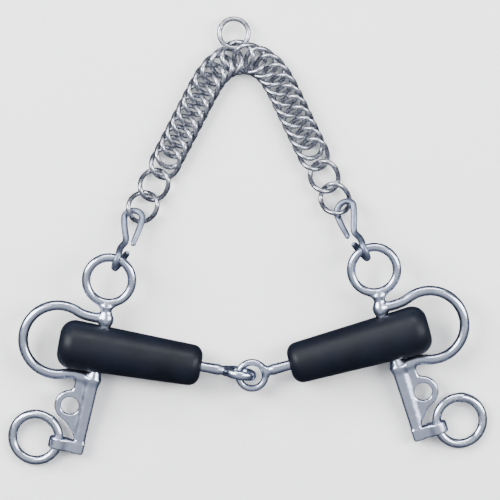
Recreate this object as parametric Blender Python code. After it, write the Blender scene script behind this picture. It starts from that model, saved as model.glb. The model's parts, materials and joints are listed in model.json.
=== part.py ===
"""Jointed Pelham curb bit with rubber-covered mouth and double-link curb chain, lying on a flat top.

Metres, +Z up, the chain towards +Y, the shanks towards -Y. The bit is drawn flat in its own plane:
x across the mouth, y from the line through the two cheek barrels towards the chain. That plane is
then tipped until the shanks, the heavy side, are down and the curb rings lie on the floor.
Each piece is one named closed solid whose origin is on the joint that moves it.
"""
import math

import bmesh
import bpy
from mathutils import Matrix, Vector

MM = 0.001
GAP = 0.3 * MM                      # room between two pieces that touch or turn in each other

# Mouthpiece: two steel cores with an eye at each end, each in a moulded rubber sleeve
CORE_LENGTH = 62.0 * MM             # cheek barrel to the centre of the joint eye
MOUTH_DROP = 14.3 * MM              # how far the joint lies behind the line of the barrels
CORE_RADIUS = 2.25 * MM
JOINT_EYE_RADIUS = 5.8 * MM         # to the middle of the eye's wire
JOINT_EYE_WIRE = 1.45 * MM
JOINT_PLAY = 0.35 * MM              # how far short of touching the two eyes rest
BARREL_EYE_RADIUS = 5.0 * MM        # outside of the hidden eye that turns on the barrel
BARREL_EYE_LENGTH = 15.0 * MM
SLEEVE_OUTER = 18.3 * MM            # barrel to the sleeve's outer end
SLEEVE_INNER = 44.8 * MM            # barrel to the sleeve's inner end
SLEEVE_RADIUS_OUTER = 11.0 * MM
SLEEVE_RADIUS_INNER = 8.9 * MM
SLEEVE_END_ROUND = 4.5 * MM

# Cheek, in its own flat frame: x outwards, y up along the barrel, origin at the barrel's middle
CHEEK_LEAN = math.radians(15.0)     # the barrel leans in towards the chain by this much
BARREL_RADIUS = 2.5 * MM
NECK_RADIUS = 2.15 * MM
HEAD_RING_RADIUS = 10.0 * MM
HEAD_RING_WIRE = 1.9 * MM
HEAD_RING_OUT = 2.7 * MM
HEAD_RING_UP = 30.6 * MM
REIN_RING_RADIUS = 15.25 * MM
REIN_RING_WIRE = 2.2 * MM
REIN_RING_OUT = 18.8 * MM
ARM_HEIGHT = SLEEVE_RADIUS_OUTER + REIN_RING_WIRE + 0.85 * MM    # the ring's arms pass just clear of the rubber
SHANK_HALF_WIDTH = 2.7 * MM
SHANK_LENGTH = 47.2 * MM            # barrel's middle to the shank's lower corner
WEB_THICKNESS = 3.2 * MM
WEB_HALF_TOP = 7.5 * MM             # bar's middle to the web's edge above the lobe
STRAP_HOLE_RADIUS = 4.0 * MM
STRAP_LOBE_RADIUS = 6.8 * MM
STRAP_LOBE_OUT = 7.5 * MM
STRAP_LOBE_DOWN = 27.3 * MM
LOBE_FROM = math.radians(82)        # the lobe's rim runs from this angle, from straight outwards,
LOBE_TO = math.radians(-72)         # down to this one
FOOT_FILLET = 2.5 * MM              # how far above the foot the web runs out
CURB_RING_RADIUS = 10.3 * MM
CURB_RING_WIRE = 2.0 * MM
FOOT_HEIGHT = 5.0 * MM
FOOT_EYE_OUT = 8.9 * MM
FOOT_EYE_WALL = 1.7 * MM

# Curb hooks, drawn in the sloping plane from the headstall ring down to the chain
HOOK_WIDTH = 1.4 * MM               # half-width of the flattened wire
HOOK_THICKNESS = 1.1 * MM           # half-thickness
HOOK_EYE_RADIUS = HEAD_RING_WIRE + HOOK_THICKNESS + 1.35 * MM    # loose on the ring's wire
HOOK_EYE_HEADING = math.radians(30.0)    # the eye stands square to the ring's wire
HOOK_HEADING = math.radians(16.0)   # from straight ahead, towards the middle
HOOK_LENGTH = 25.3 * MM             # eye centre to the top of the bend
HOOK_BEND_HALF = 4.0 * MM
HOOK_ROLL = {-1: 0.2, 1: -0.55}     # slope across the bend: the chain's twist lifts opposite legs

# Curb chain: single end links, a double-linked run between them, and one fly link
END_LINKS = 3
DOUBLE_LINKS = 21
LINK_HALF_LENGTH = 6.75 * MM
LINK_HALF_WIDTH = 6.05 * MM
LINK_WIRE = 1.05 * MM
LINK_TWIST = 2.85 * MM
SINGLE_PITCH = 2 * (LINK_HALF_LENGTH - LINK_WIRE) - 0.5 * MM   # end to end, less a little slack
DOUBLE_PITCH = SINGLE_PITCH / 2 - 0.25 * MM                     # each link holds its next two neighbours
CENTRE_LINK_EXTRA = 0.7 * MM        # the link that carries the fly link is this much wider
FLY_RADIUS = 6.4 * MM
FLY_OFFSET = 11.2 * MM              # chain line to the fly link's centre
END_LINK_RISE = 1.4 * MM            # the hooks hold the outermost links this far off the floor
END_LINK_TURN = math.radians(14.0)  # the outermost links turn in line with their hooks
BEND_SPREAD = 3.6                   # links each side of the crown over which the chain bends
BEND_CENTRE = 13.5                  # the sharpest bend, counted in links from the left
RUN_LINKS = 3                       # links of the double run that turn together
LEFT_LINKS = 15                     # links carried by the left hook; the right hook carries the rest

RING_STEPS = 28
WIRE_SIDES = 8


# ---------------------------------------------------------------- solids

def ellipse(centre, across, up, half_width, half_height, sides):
    turn = 2 * math.pi / sides
    return [centre + across * (half_width * math.cos(k * turn)) + up * (half_height * math.sin(k * turn))
            for k in range(sides)]


def bridge(bm, ring_a, ring_b):
    for k in range(len(ring_a)):
        n = (k + 1) % len(ring_a)
        bm.faces.new((ring_a[k], ring_a[n], ring_b[n], ring_b[k]))


def sweep(path, thin, half_width, half_thickness=None, closed=False, sides=WIRE_SIDES):
    """A wire along path. thin is the direction of its thickness: one vector, or one for each point."""
    count = len(path)
    half_thickness = half_thickness or half_width
    widths = half_width if isinstance(half_width, list) else [half_width] * count
    heights = half_thickness if isinstance(half_thickness, list) else [half_thickness] * count
    thins = thin if isinstance(thin, list) else [thin] * count
    bm = bmesh.new()
    rings = []
    for k, point in enumerate(path):
        before = path[k - 1] if (k or closed) else point
        after = path[(k + 1) % count] if (k < count - 1 or closed) else point
        along = (after - before).normalized()
        up = (thins[k] - along * thins[k].dot(along)).normalized()
        section = ellipse(point, along.cross(up), up, widths[k], heights[k], sides)
        rings.append([bm.verts.new(p) for p in section])
    for k in range(count if closed else count - 1):
        bridge(bm, rings[k], rings[(k + 1) % count])
    if not closed:
        bm.faces.new(rings[0])
        bm.faces.new(rings[-1])
    return bm


def torus(centre, normal, radius, wire, steps=RING_STEPS, sides=WIRE_SIDES):
    across = normal.orthogonal().normalized()
    path = ellipse(centre, across, normal.cross(across), radius, radius, steps)
    return sweep(path, normal, wire, closed=True, sides=sides)


def rod(start, end, radius, end_radius=None, sides=WIRE_SIDES):
    across = (end - start).orthogonal()
    return sweep([start, end], across, [radius, end_radius or radius], sides=sides)


def plate(outline, thickness):
    """A flat plate across z = 0 with the given (x, y) outline."""
    bm = bmesh.new()
    layers = [[bm.verts.new((x, y, z)) for x, y in outline] for z in (-thickness / 2, thickness / 2)]
    bridge(bm, layers[0], layers[1])
    for layer in layers:
        bm.faces.new(layer)
    return bm


def tidy(bm):
    bmesh.ops.remove_doubles(bm, verts=bm.verts, dist=0.002 * MM)
    bmesh.ops.dissolve_degenerate(bm, edges=bm.edges, dist=0.002 * MM)
    bmesh.ops.triangulate(bm, faces=bm.faces)
    bmesh.ops.recalc_face_normals(bm, faces=bm.faces)


def new_object(name, bm):
    tidy(bm)
    mesh = bpy.data.meshes.new(name)
    bm.to_mesh(mesh)
    bm.free()
    thing = bpy.data.objects.new(name, mesh)
    bpy.context.scene.collection.objects.link(thing)
    return thing


def combine(bm, others, operation):
    """bm with each of the other solids added or cut away, as one new bmesh."""
    body = new_object("body", bm)
    tools = [new_object("tool", other) for other in others]
    for tool in tools:
        step = body.modifiers.new(operation.lower(), "BOOLEAN")
        step.operation = operation
        step.solver = "EXACT"
        step.object = tool
    graph = bpy.context.evaluated_depsgraph_get()
    mesh = bpy.data.meshes.new_from_object(body.evaluated_get(graph))
    for thing in [body] + tools:
        bpy.data.objects.remove(thing)
    result = bmesh.new()
    result.from_mesh(mesh)
    bpy.data.meshes.remove(mesh)
    tidy(result)
    return result


def moved(bm, matrix):
    bmesh.ops.transform(bm, matrix=matrix, verts=bm.verts)
    return bm


def smooth_path(corners, per_span):
    """Points along a smooth curve through the corners (Catmull-Rom)."""
    padded = [corners[0] * 2 - corners[1]] + corners + [corners[-1] * 2 - corners[-2]]
    path = []
    for k in range(len(corners) - 1):
        a, b, c, d = padded[k:k + 4]
        for step in range(per_span):
            t = step / per_span
            path.append(0.5 * (2 * b + (c - a) * t + (2 * a - 5 * b + 4 * c - d) * t * t
                               + (3 * b - a - 3 * c + d) * t ** 3))
    return path + [corners[-1].copy()]


# ---------------------------------------------------------------- layout of the flat bit

X, Y, Z = Vector((1, 0, 0)), Vector((0, 1, 0)), Vector((0, 0, 1))
SIDES = {"left": -1, "right": 1}


def reach(side):
    """Joint axis to barrel: the left core's eye hangs in the right core's, so it reaches further."""
    return CORE_LENGTH + (JOINT_EYE_RADIUS - JOINT_PLAY if side < 0 else 0)


def half_span(side):
    return math.sqrt(reach(side) ** 2 - MOUTH_DROP ** 2)


JOINT_ACROSS = (half_span(-1) - half_span(1)) / 2
JOINT = Vector((JOINT_ACROSS, -MOUTH_DROP, 0))


def barrel(side):
    return JOINT + Vector((side * half_span(side), MOUTH_DROP, 0))


def core_frame(side):
    """The half mouth's frame: origin at the barrel, x outwards along the core, z out of the bit's plane."""
    outwards = (barrel(side) - JOINT).normalized()
    across = Z.cross(outwards)
    return Matrix.Translation(barrel(side)) @ Matrix((outwards, across, Z)).transposed().to_4x4()


def cheek_frame(side):
    """The cheek's frame: origin at the barrel's middle, x outwards, y up the barrel."""
    outwards = Vector((side * math.cos(CHEEK_LEAN), math.sin(CHEEK_LEAN), 0))
    up = Vector((-side * math.sin(CHEEK_LEAN), math.cos(CHEEK_LEAN), 0))
    return Matrix.Translation(barrel(side)) @ Matrix((outwards, up, Z)).transposed().to_4x4()


def sleeve_radius(station):
    """Radius of the rubber at a distance outwards from the barrel, rounded ends left out."""
    share = (station + SLEEVE_INNER) / (SLEEVE_INNER + SLEEVE_OUTER)
    return SLEEVE_RADIUS_INNER + (SLEEVE_RADIUS_OUTER - SLEEVE_RADIUS_INNER) * share


FOOT_EYE_HOLE = CURB_RING_WIRE + 2 * GAP
FOOT_EYE_RADIUS = FOOT_EYE_HOLE + FOOT_EYE_WALL
FOOT_EYE = Vector((FOOT_EYE_OUT, FOOT_HEIGHT / 2 - SHANK_LENGTH, 0))
HOOK_SEAT_UP = HEAD_RING_UP + math.sqrt(HEAD_RING_RADIUS ** 2 - HEAD_RING_OUT ** 2)


def resting_height(tip):
    """Height of the barrels when the sleeves' undersides touch the floor, for a tip of the bit's plane."""
    rise = math.sin(tip) * MOUTH_DROP / reach(1)
    stations = (SLEEVE_OUTER - SLEEVE_END_ROUND, SLEEVE_END_ROUND - SLEEVE_INNER)
    return max(sleeve_radius(s) - s * rise for s in stations)


def resting_tip():
    """The bit rolls on its sleeves until the eyes at the shanks' feet are just off the floor."""
    foot_back = -(cheek_frame(1) @ FOOT_EYE).y
    tip = 0.0
    for _ in range(20):
        tip = math.asin((resting_height(tip) - FOOT_EYE_RADIUS - GAP) / foot_back)
    return tip


TIP = resting_tip()
LAY = Matrix.Translation((0, 0, resting_height(TIP))) @ Matrix.Rotation(TIP, 4, "X")


# ---------------------------------------------------------------- pieces

def cheek(side):
    head_ring = Vector((HEAD_RING_OUT, HEAD_RING_UP, 0))
    rein_ring = Vector((REIN_RING_OUT, 0, 0))
    neck = smooth_path([head_ring - Y * HEAD_RING_RADIUS, Vector((1.0 * MM, 17 * MM, 0)),
                        Vector((0, 12 * MM, 0)), Vector((0, 5 * MM, 0))], 3)
    solid = rod(Y * -14 * MM, Y * 9 * MM, BARREL_RADIUS, sides=12)
    arm = []
    turns = 20
    first = math.radians(112)
    for k in range(turns + 1):
        angle = first - 2 * first * k / turns
        arm.append(rein_ring + Vector((math.cos(angle), math.sin(angle), 0)) * REIN_RING_RADIUS)
    arm = [Vector((0, ARM_HEIGHT, 0)), Vector((6 * MM, ARM_HEIGHT + 0.2 * MM, 0))] + arm
    arm += [Vector((6 * MM, -ARM_HEIGHT - 0.2 * MM, 0)), Vector((0, -ARM_HEIGHT, 0))]
    shank = rod(Y * -12.6 * MM, Y * -SHANK_LENGTH, SHANK_HALF_WIDTH, sides=12)
    lobe = Vector((STRAP_LOBE_OUT, -STRAP_LOBE_DOWN, 0))
    foot_top = FOOT_HEIGHT - SHANK_LENGTH
    web = [(0, -ARM_HEIGHT), (WEB_HALF_TOP + REIN_RING_WIRE, -ARM_HEIGHT), (WEB_HALF_TOP, -ARM_HEIGHT - 3.2 * MM)]
    turns = 12
    for k in range(turns + 1):
        angle = LOBE_FROM + (LOBE_TO - LOBE_FROM) * k / turns
        web.append((lobe.x + STRAP_LOBE_RADIUS * math.cos(angle), lobe.y + STRAP_LOBE_RADIUS * math.sin(angle)))
    web += [(SHANK_HALF_WIDTH, foot_top + FOOT_FILLET), (SHANK_HALF_WIDTH, foot_top - GAP), (0, foot_top - GAP)]
    foot = plate([(-SHANK_HALF_WIDTH, -SHANK_LENGTH), (FOOT_EYE_OUT, -SHANK_LENGTH + 0.15 * MM),
                  (FOOT_EYE_OUT, foot_top - 0.15 * MM), (-SHANK_HALF_WIDTH + 0.1 * MM, foot_top)], 4.6 * MM)
    eye_half = Y * (FOOT_HEIGHT / 2 - 0.25 * MM)
    eye = rod(FOOT_EYE - eye_half, FOOT_EYE + eye_half, FOOT_EYE_RADIUS, sides=20)
    solid = combine(solid, [
        torus(head_ring, Z, HEAD_RING_RADIUS, HEAD_RING_WIRE),
        sweep(neck, Z, NECK_RADIUS, sides=10),
        sweep(arm, Z, REIN_RING_WIRE),
        shank,
        plate(web, WEB_THICKNESS),
        foot,
        eye,
    ], "UNION")
    solid = combine(solid, [
        rod(lobe - Z * 6 * MM, lobe + Z * 6 * MM, STRAP_HOLE_RADIUS, sides=20),
        rod(FOOT_EYE - Y * 8 * MM, FOOT_EYE + Y * 3.4 * MM, FOOT_EYE_HOLE, sides=16),
    ], "DIFFERENCE")
    return moved(solid, LAY @ cheek_frame(side))


def curb_ring_drop():
    """How far each curb ring turns down about its foot eye to lie on the floor."""
    frame = LAY @ cheek_frame(1)
    low, high = 0.0, math.radians(40)
    for _ in range(40):
        middle = (low + high) / 2
        centre, normal = curb_ring_place(frame, middle)
        lowest = centre.z - CURB_RING_RADIUS * math.sqrt(1 - normal.z ** 2) - CURB_RING_WIRE
        low, high = (middle, high) if lowest > 0 else (low, middle)
    return low


def curb_ring_place(frame, drop):
    turned = Matrix.Rotation(drop, 3, "Y")
    centre = frame @ (FOOT_EYE + turned @ (X * CURB_RING_RADIUS))
    return centre, frame.to_3x3() @ (turned @ Z)


def curb_ring(side):
    centre, normal = curb_ring_place(LAY @ cheek_frame(side), curb_ring_drop())
    return torus(centre, normal, CURB_RING_RADIUS, CURB_RING_WIRE)


def core_solid(side, extra):
    """The steel core, drawn along its own frame, grown by extra for the pocket in the rubber."""
    eye_centre = Vector((-CORE_LENGTH, 0, 0))
    eye_normal = Y if side < 0 else Z
    neck_end = eye_centre + X * JOINT_EYE_RADIUS
    barrel_up = core_frame(side).inverted().to_3x3() @ (cheek_frame(side).to_3x3() @ Y)
    half = barrel_up * (BARREL_EYE_LENGTH / 2 + extra)
    shaft = [neck_end, neck_end + X * 4 * MM, neck_end + X * 8 * MM, Vector((0, 0, 0))]
    radii = [JOINT_EYE_WIRE * 0.9, CORE_RADIUS * 1.1, CORE_RADIUS, CORE_RADIUS]
    parts = [rod(-half, half, BARREL_EYE_RADIUS + extra, sides=20)]
    if not extra:
        parts.append(torus(eye_centre, eye_normal, JOINT_EYE_RADIUS, JOINT_EYE_WIRE, steps=24))
    solid = combine(sweep(shaft, Z, [r + extra for r in radii], sides=12), parts, "UNION")
    return solid, barrel_up


def mouth_core(side):
    solid, barrel_up = core_solid(side, 0)
    hole = rod(barrel_up * -12 * MM, barrel_up * 12 * MM, BARREL_RADIUS + GAP, sides=16)
    return moved(combine(solid, [hole], "DIFFERENCE"), LAY @ core_frame(side))


def sleeve_profile():
    """Stations and radii along the sleeve from its inner to its outer end, with rounded ends."""
    points = []
    quarter = 5
    for end, inwards in ((-SLEEVE_INNER, 1), (SLEEVE_OUTER, -1)):
        arc = []
        for k in range(quarter + 1):
            angle = math.radians(90) * k / quarter
            station = end + inwards * SLEEVE_END_ROUND * (1 - math.sin(angle))
            arc.append((station, sleeve_radius(station) - SLEEVE_END_ROUND * (1 - math.cos(angle))))
        points += arc[::-1] if inwards > 0 else arc
    return points


def rubber_sleeve(side):
    profile = sorted(sleeve_profile())
    path = [X * station for station, radius in profile]
    body = sweep(path, Z, [radius for station, radius in profile], sides=28)
    pocket, barrel_up = core_solid(side, GAP)
    through = barrel_up * (SLEEVE_RADIUS_OUTER + 3 * MM)
    hole = rod(-through, through, BARREL_RADIUS + GAP, sides=16)
    return moved(combine(body, [pocket, hole], "DIFFERENCE"), LAY @ core_frame(side))


def sloping_axes(side, heading, slope):
    """Directions along a hook that slopes down to the chain, out of its flat, and towards the middle."""
    ahead = Vector((-side * math.sin(heading), math.cos(heading), 0))
    along = ahead * math.cos(slope) - Z * math.sin(slope)
    upward = ahead * math.sin(slope) + Z * math.cos(slope)
    inward = Vector((-side * math.cos(heading), -math.sin(heading), 0))
    return along, upward, inward


def hook_path(side):
    """Centre line of a hook and the direction of its thickness, in the floor's frame."""
    seat = LAY @ cheek_frame(side) @ (Y * HOOK_SEAT_UP)
    bend_height = 4.6 * MM
    slope = math.asin((seat.z - bend_height) / HOOK_LENGTH)
    eye_along, eye_upward, eye_inward = sloping_axes(side, HOOK_EYE_HEADING, slope)
    along, upward, inward = sloping_axes(side, HOOK_HEADING, slope)
    lateral = HOOK_WIDTH + GAP / 2
    points, thins = [], []
    steps = 14
    for k in range(steps + 1):
        share = k / steps
        angle = math.radians(390 - 300 * share)
        radial = eye_along * math.cos(angle) + eye_upward * math.sin(angle)
        points.append(radial * HOOK_EYE_RADIUS + eye_inward * lateral * (1 - 2 * share))
        thins.append(radial)
    bend = HOOK_LENGTH - HOOK_BEND_HALF
    leg = [(4.6, 2.6, -1.1), (7.6, 0.6, -0.2), (10.5, 0, 0.4), (16.0, 0, -1.6)]
    leg = [Vector(corner) * MM for corner in leg]
    middle = 1.0 * MM
    for k in range(7):
        angle = math.radians(180 - 190 * k / 6)
        leg.append(Vector((bend + HOOK_BEND_HALF * math.sin(angle), 0, middle + HOOK_BEND_HALF * math.cos(angle))))
    leg += [Vector(corner) * MM for corner in ((15.5, 0, 4.6), (9.8, 0, 3.75), (8.4, 0, 4.3))]
    for corner in leg:
        rolled = min(1.0, max(0.0, corner.x / (6 * MM) - 1))
        corner.y += HOOK_ROLL[side] * rolled * (corner.z - middle)
    corners = [points[-1]] + [along * p.x + upward * p.y + inward * p.z for p in leg]
    run = smooth_path(corners, 2)[1:]
    points += run
    thins += [upward] * len(run)
    return [seat + p for p in points], thins


def curb_hook(side):
    path, thins = hook_path(side)
    count = len(path)
    taper = [0.6, 0.9] + [1.0] * (count - 8) + [0.97, 0.93, 0.88, 0.84, 0.8, 0.5]
    return sweep(path, thins, [HOOK_WIDTH * t for t in taper], [HOOK_THICKNESS * t for t in taper])


# ---------------------------------------------------------------- chain

LINK_COUNT = DOUBLE_LINKS + 2 * END_LINKS
CENTRE_LINK = LINK_COUNT // 2


def chain_anchor(side):
    """Centre of the outermost link on one side, which lies in its hook's bend."""
    seat = LAY @ cheek_frame(side) @ (Y * HOOK_SEAT_UP)
    return Vector((seat.x - side * 10.5 * MM, seat.y + 23.1 * MM, 0))


def walk_chain(heading, sharpest):
    """Link centres and the heading of each step, for a start heading and the bend at the crown."""
    pitches = [SINGLE_PITCH] * (END_LINKS - 1)
    pitches = pitches + [DOUBLE_PITCH] * (DOUBLE_LINKS + 1) + pitches
    centres, headings = [chain_anchor(-1)], []
    for k, pitch in enumerate(pitches):
        if k:
            heading -= sharpest * math.exp(-abs((k - BEND_CENTRE) / BEND_SPREAD) ** 3)
        headings.append(heading)
        centres.append(centres[-1] + Vector((math.cos(heading), math.sin(heading), 0)) * pitch)
    return centres, headings


def lay_chain():
    """Bends the chain so that it starts in the left hook and ends in the right one (Newton's method)."""
    guess = [math.radians(63), math.radians(13.4)]
    target = chain_anchor(1)
    nudge = 1e-6
    for _ in range(30):
        miss = walk_chain(*guess)[0][-1] - target
        by_heading = (walk_chain(guess[0] + nudge, guess[1])[0][-1] - target - miss) / nudge
        by_bend = (walk_chain(guess[0], guess[1] + nudge)[0][-1] - target - miss) / nudge
        solved = Matrix(((by_heading.x, by_bend.x), (by_heading.y, by_bend.y))).inverted() @ miss.to_2d()
        guess = [guess[0] - solved.x, guess[1] - solved.y]
    return walk_chain(*guess)


def link_curve(half_width, steps):
    """Centre line of one link: an oval whose ends are twisted so that the next links pass through."""
    points = []
    for k in range(steps):
        t = 2 * math.pi * k / steps
        points.append(Vector((LINK_HALF_LENGTH * math.cos(t), half_width * math.sin(t),
                              -LINK_TWIST * math.sin(2 * t))))
    return points


def chain_frames():
    """One frame for each link: x along the chain, z out of the floor."""
    centres, headings = lay_chain()
    last = LINK_COUNT - 1
    heights = []
    for k in range(LINK_COUNT):
        heights.append(LINK_TWIST + LINK_WIRE + END_LINK_RISE * 0.35 ** min(k, last - k))
    frames = []
    for k in range(LINK_COUNT):
        before, after = max(k - 1, 0), min(k + 1, last)
        heading = (headings[max(k - 1, 0)] + headings[min(k, last - 1)]) / 2
        if k in (0, last):
            heading += END_LINK_TURN * (-1 if k == 0 else 1)
        run = (centres[after] - centres[before]).length
        pitch = math.atan2(heights[after] - heights[before], run)
        turn = Matrix.Rotation(heading, 4, "Z") @ Matrix.Rotation(-pitch, 4, "Y")
        frames.append(Matrix.Translation(centres[k] + Z * heights[k]) @ turn)
    return frames


def run_of(k):
    """First and last link of the short run that turns as one with link k."""
    if k < END_LINKS or k >= LINK_COUNT - END_LINKS:
        return k, k
    first = k - (k - END_LINKS) % RUN_LINKS
    return first, first + RUN_LINKS - 1


def link_pivot(frames, k):
    """Where link k's run turns against the next one towards its own hook, or in the hook's bend."""
    first, last = run_of(k)
    near, beyond = (first, first - 1) if k < LEFT_LINKS else (last, last + 1)
    if beyond in (-1, LINK_COUNT):
        return frames[near] @ (X * (beyond - near) * SINGLE_PITCH / 2)
    return (frames[near].translation + frames[beyond].translation) / 2


def chain_link(frame, extra):
    path = [p + Y * extra for p in link_curve(LINK_HALF_WIDTH + extra, 24)]
    thins = [Z] * len(path)
    return moved(sweep(path, thins, LINK_WIRE, closed=True, sides=6), frame)


FLY_PIVOT = Y * (LINK_HALF_WIDTH + 2 * CENTRE_LINK_EXTRA)


def fly_link(frame):
    return moved(torus(Y * FLY_OFFSET, Z, FLY_RADIUS, LINK_WIRE, steps=24, sides=6), frame)


# ---------------------------------------------------------------- assembly

def material(name, colour, metallic, roughness):
    made = bpy.data.materials.new(name)
    made.use_nodes = True
    shader = made.node_tree.nodes["Principled BSDF"]
    shader.inputs["Base Color"].default_value = (*colour, 1)
    shader.inputs["Metallic"].default_value = metallic
    shader.inputs["Roughness"].default_value = roughness
    return made


def add(name, bm, origin, finish):
    """Adds the finished piece with its origin on the joint that moves it."""
    thing = new_object(name, moved(bm, Matrix.Translation(-origin)))
    thing.location = origin
    for face in thing.data.polygons:
        face.use_smooth = True
    thing.data.materials.append(finish)
    return thing


def build():
    for thing in list(bpy.data.objects):
        bpy.data.objects.remove(thing)
    steel = material("polished_steel", (0.62, 0.64, 0.67), 1.0, 0.25)
    hook_steel = material("hook_steel", (0.38, 0.41, 0.47), 1.0, 0.35)
    chain_steel = material("chain_steel", (0.5, 0.51, 0.54), 1.0, 0.3)
    rubber = material("black_rubber", (0.012, 0.015, 0.022), 0.0, 0.45)
    joint_axis = LAY @ JOINT
    for word, side in SIDES.items():
        frame = LAY @ cheek_frame(side)
        add(word + "_mouth_core", mouth_core(side), joint_axis, steel)
        add(word + "_rubber_sleeve", rubber_sleeve(side), joint_axis, rubber)
        add(word + "_cheek", cheek(side), frame.translation, steel)
        add(word + "_curb_ring", curb_ring(side), frame @ FOOT_EYE, steel)
        add(word + "_curb_hook", curb_hook(side), frame @ (Y * HOOK_SEAT_UP), hook_steel)
    frames = chain_frames()
    for k, frame in enumerate(frames):
        extra = CENTRE_LINK_EXTRA if k == CENTRE_LINK else 0
        add(f"chain_link_{k + 1:02d}", chain_link(frame, extra), link_pivot(frames, k), chain_steel)
    crown = frames[CENTRE_LINK]
    add("fly_link", fly_link(crown), crown @ FLY_PIVOT, chain_steel)


def stand_on_origin():
    """Moves every piece alike, so that the middle of the bit's underside is the origin."""
    bpy.context.view_layer.update()
    corners = [thing.matrix_world @ vertex.co for thing in bpy.data.objects for vertex in thing.data.vertices]
    low = [min(corner[axis] for corner in corners) for axis in range(3)]
    high = [max(corner[axis] for corner in corners) for axis in range(3)]
    shift = Vector((-(low[0] + high[0]) / 2, -(low[1] + high[1]) / 2, -low[2]))
    for thing in bpy.data.objects:
        thing.location += shift


build()
stand_on_origin()
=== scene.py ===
"""Looks of the jointed Pelham bit: smooth castings, bent wire, moulded rubber, and the studio around them.

Every piece stands where the CAD nodes and joints say. Castings and rubber are skins over distance fields,
worked out in the piece's own flat frame; the curb chain and the plain rings are Geometry Nodes.
"""
import json
import math

import bmesh
import bpy
import numpy as np
from mathutils import Matrix, Vector
from mathutils.geometry import interpolate_bezier

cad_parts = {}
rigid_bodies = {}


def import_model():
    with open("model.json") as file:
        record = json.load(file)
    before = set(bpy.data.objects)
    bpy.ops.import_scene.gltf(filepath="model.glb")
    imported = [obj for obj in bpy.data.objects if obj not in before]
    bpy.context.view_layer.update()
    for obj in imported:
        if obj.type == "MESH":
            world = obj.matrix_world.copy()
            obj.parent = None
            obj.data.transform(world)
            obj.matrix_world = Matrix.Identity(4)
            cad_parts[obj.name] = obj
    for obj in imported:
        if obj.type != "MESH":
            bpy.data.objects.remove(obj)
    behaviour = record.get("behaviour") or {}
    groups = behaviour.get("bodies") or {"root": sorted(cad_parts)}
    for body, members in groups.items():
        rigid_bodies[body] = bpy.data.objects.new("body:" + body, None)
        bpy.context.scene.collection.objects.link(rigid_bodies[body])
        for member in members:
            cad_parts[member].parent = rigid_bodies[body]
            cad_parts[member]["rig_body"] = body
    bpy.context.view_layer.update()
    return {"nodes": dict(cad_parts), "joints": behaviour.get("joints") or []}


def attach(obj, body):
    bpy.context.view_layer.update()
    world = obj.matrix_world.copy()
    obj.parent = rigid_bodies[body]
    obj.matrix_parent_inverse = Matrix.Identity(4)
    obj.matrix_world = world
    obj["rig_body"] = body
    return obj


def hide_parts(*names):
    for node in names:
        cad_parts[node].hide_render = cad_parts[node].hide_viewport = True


MM = 0.001

# Cheek casting, in its own flat frame: x outwards from the barrel, y up along it, z out of the flat
HEAD_RING = (2.7 * MM, 30.6 * MM)
HEAD_RING_RADIUS = 10.0 * MM
HEAD_RING_WIRE = 1.9 * MM
NECK_RADIUS = 2.1 * MM
NECK = ((1.6 * MM, 20.4 * MM, 0), (0.6 * MM, 15 * MM, 0), (0, 9 * MM, 0))
NECK_FLARE = 3.4 * MM               # fillet between the neck and the headstall ring
BARREL_BOTTOM = 13 * MM
BARREL_RADIUS = 2.5 * MM
REIN_RING_OUT = 18.8 * MM
REIN_RING_RADIUS = 15.25 * MM
REIN_RING_WIRE = 2.2 * MM
ARM_ROOT = 13.3 * MM                # where the arms grow from the barrel, above and below its middle
KNUCKLE_RADIUS = 2.9 * MM           # the swelling where an arm meets the barrel
ARM_LEAVES = 3.5 * MM               # how straight each arm leaves its root
ARM_JOINS = 5.0 * MM                # and how straight it runs into the ring
ARM_ANGLE = math.radians(112)       # where each arm leaves the rein ring, from straight outwards
SHANK_LENGTH = 47.2 * MM
SHANK_TOP = 14.0 * MM               # below the barrel's middle
BAR_HALF_WIDTH_TOP = 2.8 * MM
BAR_HALF_WIDTH_FOOT = 2.4 * MM
BAR_HALF_THICKNESS = 2.7 * MM
BAR_BEVEL = 1.5 * MM
WEB_HALF_THICKNESS = 1.6 * MM
LOBE = (7.5 * MM, -27.3 * MM)
LOBE_RADIUS = 6.8 * MM
WEB_HALF_TOP = 7.5 * MM             # bar's middle to the web's edge above the lobe
WEB_BEVEL = 1.0 * MM
WEB_RUN_OUT = 0.9                   # how fast the web widens upwards from the foot
WEB_RUN_OUT_START = 1.6 * MM        # how far above the foot it starts to widen
LOBE_OVERLAP = 3 * MM               # how far below the lobe's middle the widening strip stops
NOTCH_FILLET = 2.5 * MM
RUN_OUT_FILLET = 1.5 * MM
STRAP_HOLE_RADIUS = 3.9 * MM
STRAP_HOLE_ROUND = 0.7 * MM
FOOT_HEIGHT = 5.0 * MM
FOOT_HALF_THICKNESS = 3.0 * MM
FOOT_BEVEL = 0.7 * MM
FOOT_FILLET = 1.2 * MM              # between the strip and its eye
FOOT_EYE_OUT = 8.9 * MM
FOOT_EYE_RADIUS = 4.3 * MM
FOOT_EYE_HOLE = 2.6 * MM
HOLE_CUTTER = 8 * MM                # half-length of a cutter that goes right through the casting

# Mouthpiece cores and their rubber, along the core: x outwards, origin at the barrel, z out of the flat
CORE_LENGTH = 62.0 * MM
CORE_RADIUS = 2.25 * MM
JOINT_EYE_RADIUS = 5.8 * MM
JOINT_EYE_WIRE = 1.5 * MM
UPRIGHT_EYE_FLATTEN = 0.75          # the left eye's wire is thinner through the ring than across it
BARREL_EYE_RADIUS = 5.0 * MM
BARREL_EYE_HALF = 7.5 * MM
SLEEVE_OUTER = 18.3 * MM
SLEEVE_INNER = 44.8 * MM
SLEEVE_RADIUS_OUTER = 11.0 * MM
SLEEVE_RADIUS_INNER = 8.9 * MM
SLEEVE_END_ROUND_OUTER = 6.8 * MM
SLEEVE_END_ROUND_INNER = 4.6 * MM
RUBBER_GAP = 0.3 * MM

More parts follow.
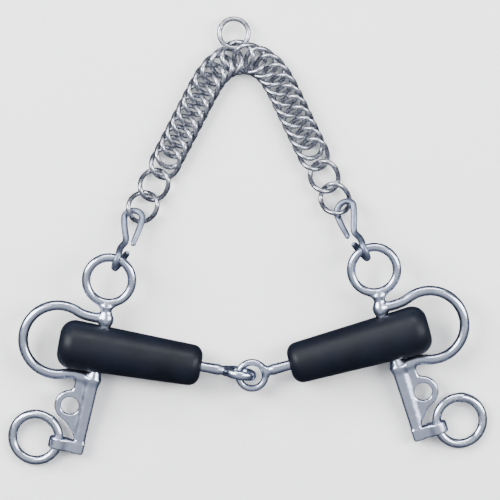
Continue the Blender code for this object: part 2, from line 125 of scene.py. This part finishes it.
# Bent wire
LINK_WIRE = 1.05 * MM
LINK_TWIST = 2.85 * MM
CURB_RING_WIRE = 2.0 * MM
WELD_SWELL = 0.12                   # how much a butt weld swells the wire, as a share of its radius
WELD_ANGLE = math.radians(100)      # where the weld sits round the ring, from its long end
WELD_SPREAD = 0.11                  # radians round the ring that the swelling takes up
HOOK_GROWTH_WIDE = 0.24 * MM        # smoothing thins the CAD hook's section, so it is grown first,
HOOK_GROWTH_THICK = 0.12 * MM       # more across its flat side than through it
WIRE_STEPS = 72
WIRE_SIDES = 14

# Grid of the skins
CASTING_GRID = 0.34 * MM
CORE_GRID = 0.28 * MM
RUBBER_GRID = 0.55 * MM

# Camera and studio
CAMERA_TURN = math.radians(2.25)
CAMERA_CENTRE = (4.1 * MM, -6.1 * MM)
CAMERA_HEIGHT = 1.6
VIEW_WIDTH = 0.22
SENSOR = 36.0                       # millimetres

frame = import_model()
JOINTS = {joint["name"]: joint for joint in frame["joints"]}


# ---------------------------------------------------------------- distance fields

def flat_ring(points, centre, radius, wire):
    """Round wire bent to a ring that lies in the flat."""
    across = np.hypot(points[:, 0] - centre[0], points[:, 1] - centre[1]) - radius
    return np.hypot(across, points[:, 2]) - wire


def wire_along(points, path, radii):
    """Round wire through the path's corners, with a radius at each corner."""
    best = np.full(len(points), np.inf)
    for start, end, first, last in zip(path[:-1], path[1:], radii[:-1], radii[1:]):
        start = np.array(start)
        run = np.array(end) - start
        share = np.clip((points - start) @ run / (run @ run), 0, 1)
        gap = np.linalg.norm(points - start - share[:, None] * run, axis=1)
        best = np.minimum(best, gap - first - (last - first) * share)
    return best


def rounded_box(points, centre, half, bevel):
    over = np.abs(points - np.array(centre)) - np.array(half) + bevel
    outside = np.linalg.norm(np.maximum(over, 0), axis=1)
    return outside + np.minimum(over.max(axis=1), 0) - bevel


def slab(outline, height, half_thickness, bevel):
    """A plate with the given flat outline field, its edges rounded."""
    over = np.stack([outline + bevel, np.abs(height) - half_thickness + bevel])
    return np.linalg.norm(np.maximum(over, 0), axis=0) + np.minimum(over.max(axis=0), 0) - bevel


def rod_along(points, centre, direction, radius, half_length, bevel):
    """A round rod, or the hole that one would fill."""
    offset = points - np.array(centre)
    station = offset @ np.array(direction)
    radial = np.linalg.norm(offset - station[:, None] * np.array(direction), axis=1)
    return slab(radial - radius, station, half_length, bevel)


def melt(first, second, reach):
    """Both shapes, with a fillet about as wide as reach where they meet."""
    share = np.clip(0.5 + 0.5 * (second - first) / reach, 0, 1)
    return second * (1 - share) + first * share - reach * share * (1 - share)


def cut(shape, hole, edge):
    """The shape without the hole, its rim rounded by about edge."""
    return -melt(-shape, hole, edge)


# ---------------------------------------------------------------- skins

def settle(points, field, step):
    """Moves points straight onto the surface where field is zero."""
    nudge = 0.05 * step
    for _ in range(3):
        value = field(points)
        slope = np.stack([field(points + nudge * axis) - field(points - nudge * axis)
                          for axis in np.eye(3)], axis=1) / (2 * nudge)
        size = np.maximum((slope ** 2).sum(axis=1), 0.25)
        points = points - (slope * (value / size)[:, None]).clip(-step, step)
    return points


def cells_round_edges(inside, index):
    """One quad for each grid edge that the surface crosses, facing outwards."""
    quads = []
    for axis in range(3):
        aside, beyond = (axis + 1) % 3, (axis + 2) % 3
        length = inside.shape[axis]
        lower = np.take(inside, range(length - 1), axis=axis)
        upper = np.take(inside, range(1, length), axis=axis)
        edges = np.argwhere(lower != upper)
        corners = []
        for back_aside, back_beyond in ((1, 1), (0, 1), (0, 0), (1, 0)):
            cell = edges.copy()
            cell[:, aside] -= back_aside
            cell[:, beyond] -= back_beyond
            corners.append(index[tuple(cell.T)])
        quad = np.stack(corners, axis=1)
        entering = ~lower[tuple(edges.T)]
        quad[entering] = quad[entering][:, ::-1]
        quads.append(quad)
    return np.concatenate(quads)


def relax(points, quads):
    """Each point at the mean of its neighbours."""
    total, count = np.zeros_like(points), np.zeros(len(points))
    for here, there in ((0, 1), (1, 2), (2, 3), (3, 0)):
        for a, b in ((quads[:, here], quads[:, there]), (quads[:, there], quads[:, here])):
            for axis in range(3):
                total[:, axis] += np.bincount(a, points[b, axis], len(points))
            count += np.bincount(a, minlength=len(points))
    return total / count[:, None]


def skin(field, low, high, step):
    """Points and quads of the closed surface where field is zero, evenly spread."""
    axes = [np.arange(low[k] - 2 * step, high[k] + 3 * step, step) for k in range(3)]
    grid = np.stack(np.meshgrid(*axes, indexing="ij"), axis=-1)
    inside = field(grid.reshape(-1, 3)).reshape(grid.shape[:3]) < 0
    count = np.zeros([size - 1 for size in inside.shape], int)
    for corner in np.ndindex(2, 2, 2):
        window = tuple(slice(offset, offset + size) for offset, size in zip(corner, count.shape))
        count += inside[window]
    crossed = (count > 0) & (count < 8)
    index = np.full(count.shape, -1)
    index[crossed] = np.arange(crossed.sum())
    points = grid[:-1, :-1, :-1][crossed] + step / 2
    quads = cells_round_edges(inside, index)
    for _ in range(4):
        points = settle(relax(points, quads), field, step)
    return points, quads


# ---------------------------------------------------------------- objects

def finished(name, mesh, node, finish):
    """Gives a mesh its material and lets it stand for a CAD node on that node's body."""
    for polygon in mesh.polygons:
        polygon.use_smooth = True
    mesh.materials.clear()
    mesh.materials.append(finish)
    thing = bpy.data.objects.new(name, mesh)
    bpy.context.scene.collection.objects.link(thing)
    body = frame["nodes"][node]["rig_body"]
    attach(thing, body)
    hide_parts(node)
    return thing


def mesh_from_skin(name, points, quads, place):
    """The skin moved from its flat frame to its place; a mirrored place turns its faces round."""
    mesh = bpy.data.meshes.new(name)
    turned = quads[:, ::-1] if place.determinant() < 0 else quads
    world = points @ np.array(place.to_3x3()).T + np.array(place.translation)
    mesh.from_pydata(world.tolist(), [], turned.tolist())
    mesh.validate()
    return mesh


def joint_place(name):
    return Vector(JOINTS[name]["pos_m"])


def joint_axis(name):
    return Vector(JOINTS[name]["axis"]).normalized()


FLAT_UP = joint_axis("left_cheek_swivel").cross(joint_axis("right_cheek_swivel")).normalized()


def cheek_place(word, side):
    """The cheek's flat frame, mirrored on the left."""
    up = joint_axis(word + "_cheek_swivel")
    outwards = up.cross(FLAT_UP) * side
    turn = Matrix((outwards, up, FLAT_UP)).transposed().to_4x4()
    return Matrix.Translation(joint_place(word + "_cheek_swivel")) @ turn


def core_place(word, side):
    """The half mouth's frame: x outwards along the core from the joint, z out of the flat."""
    barrel = joint_place(word + "_cheek_swivel")
    outwards = (barrel - joint_place("mouth_joint")).normalized()
    turn = Matrix((outwards, FLAT_UP.cross(outwards), FLAT_UP)).transposed().to_4x4()
    return Matrix.Translation(barrel) @ turn


# ---------------------------------------------------------------- cheek casting

def arm_path():
    """The upper arm, from the barrel to where it runs into the rein ring."""
    ring_end = Vector((REIN_RING_OUT + REIN_RING_RADIUS * math.cos(ARM_ANGLE),
                       REIN_RING_RADIUS * math.sin(ARM_ANGLE), 0))
    root = Vector((0, ARM_ROOT, 0))
    slope = Vector((math.sin(ARM_ANGLE), -math.cos(ARM_ANGLE), 0))
    bends = interpolate_bezier(root, root + ARM_LEAVES * Vector((1, 0.1, 0)), ring_end - slope * ARM_JOINS,
                               ring_end, 9)
    return bends, ring_end


def rein_ring_arc(points, ring_end):
    """The rein ring's round wire, open towards the barrel between its two arms."""
    ring = flat_ring(points, (REIN_RING_OUT, 0), REIN_RING_RADIUS, REIN_RING_WIRE)
    beyond_x = points[:, 0] - REIN_RING_OUT
    inside_gap = np.arctan2(np.abs(points[:, 1]), beyond_x) > ARM_ANGLE
    to_end = np.linalg.norm(points * (1, 0, 1) + np.abs(points) * (0, 1, 0) - np.array(ring_end), axis=1)
    return np.where(inside_gap, to_end - REIN_RING_WIRE, ring)


def shank_bar(points):
    """The shank's thick bar, a little narrower at the foot, with bevelled edges."""
    share = np.clip((-points[:, 1] - SHANK_TOP) / (SHANK_LENGTH - SHANK_TOP), 0, 1)
    half_width = BAR_HALF_WIDTH_TOP + (BAR_HALF_WIDTH_FOOT - BAR_HALF_WIDTH_TOP) * share
    middle = -(SHANK_TOP + SHANK_LENGTH) / 2
    reach = (SHANK_LENGTH - SHANK_TOP) / 2
    ends = np.abs(points[:, 1] - middle) - reach
    profile = slab(np.abs(points[:, 0]) - half_width, points[:, 2], BAR_HALF_THICKNESS, BAR_BEVEL)
    return np.maximum(profile, ends)


def shank_web(points):
    """The thin web with the lip-strap lobe, notched above it and running out towards the foot."""
    lobe = np.hypot(points[:, 0] - LOBE[0], points[:, 1] - LOBE[1]) - LOBE_RADIUS
    above_foot = points[:, 1] + SHANK_LENGTH - FOOT_HEIGHT
    inner = -points[:, 0]
    upper = np.maximum.reduce([points[:, 0] - WEB_HALF_TOP, LOBE[1] - points[:, 1],
                               points[:, 1] + SHANK_TOP, inner])
    run_out = points[:, 0] - BAR_HALF_WIDTH_FOOT - WEB_RUN_OUT * (above_foot - WEB_RUN_OUT_START)
    run_out = run_out / math.hypot(1, WEB_RUN_OUT)
    lower = np.maximum.reduce([run_out, points[:, 1] - LOBE[1] + LOBE_OVERLAP, -above_foot, inner])
    outline = melt(melt(lobe, upper, NOTCH_FILLET), lower, RUN_OUT_FILLET)
    return slab(outline, points[:, 2], WEB_HALF_THICKNESS, WEB_BEVEL)


def foot(points):
    """The strip at the shank's end, curled round into the curb ring's eye."""
    middle = FOOT_HEIGHT / 2 - SHANK_LENGTH
    half_height = FOOT_HEIGHT / 2
    half_size = (FOOT_EYE_OUT / 2 + BAR_HALF_WIDTH_FOOT, half_height, FOOT_HALF_THICKNESS)
    strip = rounded_box(points, (FOOT_EYE_OUT / 2, middle, 0), half_size, FOOT_BEVEL)
    eye = rod_along(points, (FOOT_EYE_OUT, middle, 0), (0, 1, 0), FOOT_EYE_RADIUS,
                    half_height - 0.1 * MM, 0.6 * MM)
    return melt(strip, eye, FOOT_FILLET)


def cheek_field(points):
    ring = flat_ring(points, HEAD_RING, HEAD_RING_RADIUS, HEAD_RING_WIRE)
    neck = wire_along(points, NECK, [NECK_RADIUS] * len(NECK))
    across = np.hypot(points[:, 0] - HEAD_RING[0], points[:, 1] - HEAD_RING[1]) - HEAD_RING_RADIUS
    stem = melt(ring, neck, NECK_FLARE * np.clip(across / HEAD_RING_WIRE, 0.06, 1))
    barrel = wire_along(points, [NECK[-1], (0, -BARREL_BOTTOM, 0)], [BARREL_RADIUS] * 2)
    bends, ring_end = arm_path()
    flipped = points * (1, -1, 1)
    arms = np.minimum(wire_along(points, bends, [REIN_RING_WIRE] * len(bends)),
                      wire_along(flipped, bends, [REIN_RING_WIRE] * len(bends)))
    arms = np.minimum(arms, rein_ring_arc(points, ring_end))
    above_root = np.stack([points[:, 0], np.abs(points[:, 1]) - ARM_ROOT, points[:, 2]])
    arms = melt(arms, np.linalg.norm(above_root, axis=0) - KNUCKLE_RADIUS, 1.2 * MM)
    casting = melt(melt(stem, barrel, 0.5 * MM), arms, 2.2 * MM)
    shank = melt(shank_bar(points), shank_web(points), 1.6 * MM)
    shank = melt(shank, foot(points), 1.0 * MM)
    casting = melt(casting, shank, 2.0 * MM)
    hole = rod_along(points, (*LOBE, 0), (0, 0, 1), STRAP_HOLE_RADIUS, HOLE_CUTTER, 0)
    eye = rod_along(points, (FOOT_EYE_OUT, -SHANK_LENGTH, 0), (0, 1, 0), FOOT_EYE_HOLE, HOLE_CUTTER, 0)
    return cut(cut(casting, hole, STRAP_HOLE_ROUND), eye, 0.5 * MM)


def cheek_skin():
    low = (HEAD_RING[0] - HEAD_RING_RADIUS - 3 * MM, -SHANK_LENGTH - 1 * MM, -5 * MM)
    high = (REIN_RING_OUT + REIN_RING_RADIUS + 3 * MM, HEAD_RING[1] + 13 * MM, 5 * MM)
    return skin(cheek_field, low, high, CASTING_GRID)


# ---------------------------------------------------------------- mouth

def core_field(side, barrel_up):
    def field(points):
        eye_centre = np.array((-CORE_LENGTH, 0, 0))
        turned = points[:, (0, 2, 1)] * (1, 1, UPRIGHT_EYE_FLATTEN) if side < 0 else points
        eye = flat_ring(turned, eye_centre, JOINT_EYE_RADIUS, JOINT_EYE_WIRE)
        eye_end = JOINT_EYE_RADIUS - CORE_LENGTH
        stations = (eye_end + 1.5 * MM, eye_end + 4 * MM, eye_end + 9 * MM, 0)
        shaft = wire_along(points, [(station, 0, 0) for station in stations],
                           [JOINT_EYE_WIRE, CORE_RADIUS * 1.08, CORE_RADIUS, CORE_RADIUS])
        bush = rod_along(points, (0, 0, 0), barrel_up, BARREL_EYE_RADIUS, BARREL_EYE_HALF, 0.6 * MM)
        solid = melt(melt(eye, shaft, 2.6 * MM), bush, 1.0 * MM)
        hole = rod_along(points, (0, 0, 0), barrel_up, BARREL_RADIUS + RUBBER_GAP, 12 * MM, 0)
        return cut(solid, hole, 0.4 * MM)
    return field


def sleeve_radius(station):
    share = (station + SLEEVE_INNER) / (SLEEVE_INNER + SLEEVE_OUTER)
    return SLEEVE_RADIUS_INNER + (SLEEVE_RADIUS_OUTER - SLEEVE_RADIUS_INNER) * share


def sleeve_field(barrel_up):
    def field(points):
        radial = np.hypot(points[:, 1], points[:, 2]) - sleeve_radius(points[:, 0])
        middle = (SLEEVE_OUTER - SLEEVE_INNER) / 2
        half = (SLEEVE_OUTER + SLEEVE_INNER) / 2
        end_round = np.where(points[:, 0] > middle, SLEEVE_END_ROUND_OUTER, SLEEVE_END_ROUND_INNER)
        body = slab(radial, points[:, 0] - middle, half, end_round)
        pocket = rod_along(points, (-SLEEVE_INNER / 2, 0, 0), (1, 0, 0), CORE_RADIUS + RUBBER_GAP,
                           SLEEVE_INNER / 2 + 4 * MM, 0)
        bush = rod_along(points, (0, 0, 0), barrel_up, BARREL_EYE_RADIUS + RUBBER_GAP,
                         BARREL_EYE_HALF + RUBBER_GAP, 0.4 * MM)
        pin = rod_along(points, (0, 0, 0), barrel_up, BARREL_RADIUS + RUBBER_GAP, 20 * MM, 0)
        hollow = np.minimum(np.minimum(pocket, bush), pin)
        return cut(body, hollow, 0.7 * MM)
    return field


def mouth_skins(word, side):
    """Skins of one core and its rubber, with the place that they share."""
    place = core_place(word, side)
    barrel_up = tuple(place.to_3x3().inverted() @ joint_axis(word + "_cheek_swivel"))
    wide = JOINT_EYE_RADIUS + JOINT_EYE_WIRE + 1 * MM
    core = skin(core_field(side, barrel_up), (-CORE_LENGTH - wide, -9 * MM, -wide),
                (6 * MM, 9 * MM, wide), CORE_GRID)
    wide = SLEEVE_RADIUS_OUTER + 1 * MM
    sleeve = skin(sleeve_field(barrel_up), (-SLEEVE_INNER - 1 * MM, -wide, -wide),
                  (SLEEVE_OUTER + 1 * MM, wide, wide), RUBBER_GRID)
    return place, core, sleeve


# ---------------------------------------------------------------- wire rings and links

def wire_ring_tree():
    """Geometry Nodes: round wire bent to an oval whose ends are twisted, with one swollen butt weld."""
    tree = bpy.data.node_groups.new("wire_ring", "GeometryNodeTree")
    for name in ("Half Length", "Half Width", "Twist", "Wire Radius", "Weld Swell"):
        tree.interface.new_socket(name, in_out="INPUT", socket_type="NodeSocketFloat")
    tree.interface.new_socket("Finish", in_out="INPUT", socket_type="NodeSocketMaterial")
    tree.interface.new_socket("Geometry", in_out="OUTPUT", socket_type="NodeSocketGeometry")
    link = tree.links.new

    def node(kind, **settings):
        made = tree.nodes.new(kind)
        for key, value in settings.items():
            setattr(made, key, value)
        return made

    def math_node(operation, first, second=None):
        made = node("ShaderNodeMath", operation=operation)
        for socket, value in zip(made.inputs, (first, second)):
            if isinstance(value, bpy.types.NodeSocket):
                link(value, socket)
            elif value is not None:
                socket.default_value = value
        return made.outputs[0]

    given = node("NodeGroupInput").outputs
    circle = node("GeometryNodeCurvePrimitiveCircle")
    circle.inputs["Resolution"].default_value = WIRE_STEPS
    turn = math_node("MULTIPLY", node("GeometryNodeInputIndex").outputs[0], 2 * math.pi / WIRE_STEPS)
    place = node("ShaderNodeCombineXYZ")
    link(math_node("MULTIPLY", given["Half Length"], math_node("COSINE", turn)), place.inputs[0])
    link(math_node("MULTIPLY", given["Half Width"], math_node("SINE", turn)), place.inputs[1])
    twice = math_node("SINE", math_node("MULTIPLY", turn, 2.0))
    link(math_node("MULTIPLY", math_node("MULTIPLY", given["Twist"], twice), -1.0), place.inputs[2])
    bend = node("GeometryNodeSetPosition")
    link(circle.outputs[0], bend.inputs["Geometry"])
    link(place.outputs[0], bend.inputs["Position"])
    away = math_node("ABSOLUTE", math_node("SUBTRACT", turn, WELD_ANGLE))
    spread = math_node("POWER", math_node("DIVIDE", away, WELD_SPREAD), 2.0)
    bump = math_node("EXPONENT", math_node("MULTIPLY", spread, -1.0))
    swell = math_node("ADD", math_node("MULTIPLY", bump, given["Weld Swell"]), 1.0)
    profile = node("GeometryNodeCurvePrimitiveCircle")
    profile.inputs["Resolution"].default_value = WIRE_SIDES
    link(given["Wire Radius"], profile.inputs["Radius"])
    sweep = node("GeometryNodeCurveToMesh")
    link(bend.outputs[0], sweep.inputs["Curve"])
    link(profile.outputs[0], sweep.inputs["Profile Curve"])
    link(swell, sweep.inputs["Scale"])
    realize = node("GeometryNodeRealizeInstances")
    link(sweep.outputs[0], realize.inputs[0])
    paint = node("GeometryNodeSetMaterial")
    link(realize.outputs[0], paint.inputs["Geometry"])
    link(given["Finish"], paint.inputs["Material"])
    link(paint.outputs[0], node("NodeGroupOutput").inputs[0])
    return tree


def lie_of(node):
    """Where a flat ring or link lies: its frame, with x along its length and z up, and its half sizes."""
    corners = np.array([vertex.co for vertex in frame["nodes"][node].data.vertices])
    corners = np.unique(corners.round(7), axis=0)
    centre = corners.mean(axis=0)
    directions = np.linalg.eigh(np.cov((corners - centre).T))[1]
    along, up = Vector(directions[:, 2]), Vector(directions[:, 0])
    up *= math.copysign(1, up.z)
    turn = Matrix((along, up.cross(along), up)).transposed().to_4x4()
    half = np.abs((corners - centre) @ np.array(turn.to_3x3())).max(axis=0)
    return Matrix.Translation(Vector(centre)) @ turn, half


def bent_wire(name, node, tree, twist, wire, finish):
    """One link or ring made by the wire tree where its CAD node lies."""
    place, half = lie_of(node)
    holder = bpy.data.objects.new("holder", bpy.data.meshes.new("holder"))
    bpy.context.scene.collection.objects.link(holder)
    maker = holder.modifiers.new("wire", "NODES")
    maker.node_group = tree
    values = {"Half Length": half[0] - wire, "Half Width": half[1] - wire, "Twist": twist,
              "Wire Radius": wire, "Weld Swell": WELD_SWELL, "Finish": finish}
    for socket in tree.interface.items_tree:
        if socket.in_out == "INPUT":
            value = values[socket.name]
            maker[socket.identifier] = value if socket.name == "Finish" else float(value)
    graph = bpy.context.evaluated_depsgraph_get()
    mesh = bpy.data.meshes.new_from_object(holder.evaluated_get(graph))
    bpy.data.objects.remove(holder)
    mesh.transform(place)
    mesh.name = name
    return finished(name, mesh, node, finish)


# ---------------------------------------------------------------- hooks

def smooth_hook(name, node, finish):
    """The CAD hook with a round section: merged, grown by what smoothing takes away, subdivided."""
    bm = bmesh.new()
    bm.from_mesh(frame["nodes"][node].data)
    bmesh.ops.remove_doubles(bm, verts=bm.verts, dist=0.01 * MM)
    bmesh.ops.join_triangles(bm, faces=bm.faces, angle_face_threshold=3.14, angle_shape_threshold=3.14)
    bm.normal_update()
    for vertex in bm.verts:
        flat_on = abs(vertex.normal.dot(FLAT_UP))
        grown = HOOK_GROWTH_WIDE + (HOOK_GROWTH_THICK - HOOK_GROWTH_WIDE) * flat_on
        vertex.co += vertex.normal * grown
    mesh = bpy.data.meshes.new(name)
    bm.to_mesh(mesh)
    bm.free()
    holder = bpy.data.objects.new("holder", mesh)
    bpy.context.scene.collection.objects.link(holder)
    smoother = holder.modifiers.new("smooth", "SUBSURF")
    smoother.levels = 2
    smoother.render_levels = 2
    graph = bpy.context.evaluated_depsgraph_get()
    smooth = bpy.data.meshes.new_from_object(holder.evaluated_get(graph))
    bpy.data.objects.remove(holder)
    smooth.name = name
    return finished(name, smooth, node, finish)


# ---------------------------------------------------------------- finishes

class Finish:
    """A material under construction, with short ways to add and join its nodes."""

    def __init__(self, name, metallic):
        self.material = bpy.data.materials.new(name)
        self.material.use_nodes = True
        self.tree = self.material.node_tree
        self.shader = self.tree.nodes["Principled BSDF"]
        self.shader.inputs["Metallic"].default_value = metallic
        self.place = self.tree.nodes.new("ShaderNodeTexCoord").outputs["Object"]

    def noise(self, size, detail=3.0, stretch=(1, 1, 1), roughness=0.5):
        """Noise with features about size long, stretched along the axes."""
        mapping = self.tree.nodes.new("ShaderNodeMapping")
        mapping.inputs["Scale"].default_value = stretch
        self.tree.links.new(self.place, mapping.inputs["Vector"])
        made = self.tree.nodes.new("ShaderNodeTexNoise")
        made.inputs["Scale"].default_value = 1 / size
        made.inputs["Detail"].default_value = detail
        made.inputs["Roughness"].default_value = roughness
        self.tree.links.new(mapping.outputs[0], made.inputs["Vector"])
        return made.outputs["Fac"]

    def between(self, value, low, high, from_low=0.3, from_high=0.7):
        made = self.tree.nodes.new("ShaderNodeMapRange")
        made.inputs["From Min"].default_value = from_low
        made.inputs["From Max"].default_value = from_high
        made.inputs["To Min"].default_value = low
        made.inputs["To Max"].default_value = high
        self.tree.links.new(value, made.inputs["Value"])
        return made.outputs[0]

    def shade(self, factor, first, second):
        made = self.tree.nodes.new("ShaderNodeMix")
        made.data_type = "RGBA"
        self.tree.links.new(factor, made.inputs["Factor"])
        for key, value in (("A", first), ("B", second)):
            socket = [s for s in made.inputs if s.name == key and s.type == "RGBA"][0]
            if isinstance(value, bpy.types.NodeSocket):
                self.tree.links.new(value, socket)
            else:
                socket.default_value = (*value, 1)
        return [s for s in made.outputs if s.type == "RGBA"][0]

    def painted_hollow_shade(self, low, high):
        """0 on edges and 1 in recesses, from how the surface curves: the mask for painted shade in the
        recesses.
        """
        curve = self.tree.nodes.new("ShaderNodeNewGeometry").outputs["Pointiness"]
        return self.between(curve, 1.0, 0.0, low, high)

    def bump(self, height, distance, strength, under=None):
        made = self.tree.nodes.new("ShaderNodeBump")
        made.inputs["Strength"].default_value = strength
        made.inputs["Distance"].default_value = distance
        self.tree.links.new(height, made.inputs["Height"])
        if under:
            self.tree.links.new(under, made.inputs["Normal"])
        return made.outputs[0]

    def set(self, name, socket):
        self.tree.links.new(socket, self.shader.inputs[name])


def polished_casting():
    """Stainless steel polished by hand after casting: wavy reflections, fine lines, and painted shade
    darkening the recesses.
    """
    look = Finish("polished_casting", 1.0)
    cloud = look.noise(9 * MM, 2)
    # painted shade: the concave recesses are darkened towards a deep blue-grey in the base colour
    hollow = look.painted_hollow_shade(0.44, 0.52)
    tint = look.shade(cloud, (0.40, 0.44, 0.56), (0.54, 0.59, 0.71))
    look.set("Base Color", look.shade(hollow, tint, (0.24, 0.27, 0.37)))
    lines = look.noise(0.35 * MM, 2, (1, 0.12, 1))
    look.set("Roughness", look.between(look.noise(4 * MM, 4), 0.17, 0.31))
    waves = look.bump(look.noise(3.2 * MM, 2), 0.10 * MM, 0.55)
    look.set("Normal", look.bump(lines, 0.006 * MM, 0.35, waves))
    return look.material


def wire_steel(name, dark, light, rough):
    """Drawn wire: lines along the draw, small dents, and tarnish where links rub."""
    look = Finish(name, 1.0)
    patches = look.noise(2.5 * MM, 4, roughness=0.6)
    look.set("Base Color", look.shade(look.between(patches, 0, 1), dark, light))
    look.set("Roughness", look.between(look.noise(1.2 * MM, 3), rough - 0.07, rough + 0.08))
    dents = look.bump(look.noise(1.9 * MM, 2), 0.05 * MM, 0.14)
    look.set("Normal", look.bump(look.noise(0.18 * MM, 2), 0.004 * MM, 0.2, dents))
    return look.material


def moulded_rubber():
    """Black rubber from a smooth mould: satin, finely grained, a little chalky on its edges."""
    look = Finish("moulded_rubber", 0.0)
    cloud = look.noise(12 * MM, 3)
    black, worn = (0.0015, 0.0025, 0.006), (0.003, 0.005, 0.011)
    look.set("Base Color", look.shade(look.between(cloud, 0, 1), black, worn))
    look.set("Roughness", look.between(look.noise(5 * MM, 4), 0.42, 0.52))
    look.shader.inputs["Specular IOR Level"].default_value = 0.2
    waves = look.bump(look.noise(6 * MM, 2), 0.12 * MM, 0.35)
    look.set("Normal", look.bump(look.noise(0.25 * MM, 2), 0.01 * MM, 0.35, waves))
    return look.material


def pale_floor():
    """Matt white board with a faint mottle."""
    look = Finish("pale_floor", 0.0)
    look.set("Base Color", look.shade(look.noise(40 * MM, 3), (0.9, 0.9, 0.9), (0.93, 0.93, 0.93)))
    look.set("Roughness", look.between(look.noise(15 * MM, 2), 0.75, 0.85))
    return look.material


# ---------------------------------------------------------------- assembly

def build_bit():
    casting = polished_casting()
    hook_finish = wire_steel("hook_wire", (0.14, 0.16, 0.23), (0.22, 0.25, 0.33), 0.42)
    chain_finish = wire_steel("chain_wire", (0.33, 0.345, 0.39), (0.46, 0.475, 0.53), 0.28)
    ring_finish = wire_steel("curb_ring_wire", (0.42, 0.46, 0.56), (0.55, 0.59, 0.69), 0.22)
    rubber = moulded_rubber()
    tree = wire_ring_tree()
    points, quads = cheek_skin()
    for word, side in (("left", -1), ("right", 1)):
        mesh = mesh_from_skin(word + "_cheek_casting", points, quads, cheek_place(word, side))
        finished(word + "_cheek_casting", mesh, word + "_cheek", casting)
        place, core, sleeve = mouth_skins(word, side)
        mesh = mesh_from_skin(word + "_mouth_steel", *core, place)
        finished(word + "_mouth_steel", mesh, word + "_mouth_core", casting)
        mesh = mesh_from_skin(word + "_mouth_rubber", *sleeve, place)
        finished(word + "_mouth_rubber", mesh, word + "_rubber_sleeve", rubber)
        bent_wire(word + "_curb_ring_wire", word + "_curb_ring", tree, 0, CURB_RING_WIRE,
                  ring_finish)
        smooth_hook(word + "_hook_wire", word + "_curb_hook", hook_finish)
    for node in sorted(frame["nodes"]):
        if node.startswith("chain_link"):
            bent_wire(node + "_wire", node, tree, LINK_TWIST, LINK_WIRE, chain_finish)
    bent_wire("fly_link_wire", "fly_link", tree, 0, LINK_WIRE, chain_finish)


# ---------------------------------------------------------------- studio

def lay_floor():
    bm = bmesh.new()
    bmesh.ops.create_grid(bm, x_segments=8, y_segments=8, size=1.5)
    mesh = bpy.data.meshes.new("floor")
    bm.to_mesh(mesh)
    bm.free()
    floor = bpy.data.objects.new("floor", mesh)
    mesh.materials.append(pale_floor())
    bpy.context.scene.collection.objects.link(floor)
    floor.visible_glossy = False


def soft_light(name, place, size, power):
    light = bpy.data.lights.new(name, "AREA")
    light.shape = "RECTANGLE"
    light.size = size[0]
    light.size_y = size[1]
    light.energy = power
    thing = bpy.data.objects.new(name, light)
    thing.location = place
    thing.rotation_euler = (-Vector(place)).to_track_quat("-Z", "Y").to_euler()
    bpy.context.scene.collection.objects.link(thing)


def light_studio():
    soft_light("key_left", (-0.75, 0.35, 0.75), (0.5, 0.9), 26)
    soft_light("fill_right", (0.8, 0.1, 0.7), (0.4, 0.9), 17)
    soft_light("back", (0.1, 0.9, 0.7), (1.0, 0.3), 13)
    world = bpy.data.worlds.new("studio")
    world.use_nodes = True
    bpy.context.scene.world = world
    tree = world.node_tree
    ramp = tree.nodes.new("ShaderNodeValToRGB")
    ramp.color_ramp.elements[0].position = 0.42
    ramp.color_ramp.elements[0].color = (0.09, 0.10, 0.14, 1)
    ramp.color_ramp.elements[1].position = 0.95
    ramp.color_ramp.elements[1].color = (0.9, 0.92, 0.95, 1)
    middle = ramp.color_ramp.elements.new(0.75)
    middle.color = (0.35, 0.37, 0.42, 1)
    split = tree.nodes.new("ShaderNodeSeparateXYZ")
    lift = tree.nodes.new("ShaderNodeMath")
    lift.operation = "MULTIPLY_ADD"
    lift.inputs[1].default_value = 0.5
    lift.inputs[2].default_value = 0.5
    tree.links.new(tree.nodes.new("ShaderNodeTexCoord").outputs["Generated"], split.inputs[0])
    tree.links.new(split.outputs["Z"], lift.inputs[0])
    tree.links.new(lift.outputs[0], ramp.inputs[0])
    tree.links.new(ramp.outputs[0], tree.nodes["Background"].inputs["Color"])
    tree.nodes["Background"].inputs["Strength"].default_value = 1.0


def place_camera():
    """Straight down on the bit, turned a little, through a long lens."""
    camera = bpy.data.cameras.new("camera")
    camera.sensor_width = SENSOR
    camera.lens = SENSOR * CAMERA_HEIGHT / VIEW_WIDTH
    camera.clip_end = 10
    thing = bpy.data.objects.new("camera", camera)
    thing.location = (*CAMERA_CENTRE, CAMERA_HEIGHT)
    thing.rotation_euler = (0, 0, -CAMERA_TURN)
    bpy.context.scene.collection.objects.link(thing)
    bpy.context.scene.camera = thing


build_bit()
lay_floor()
light_studio()
place_camera()
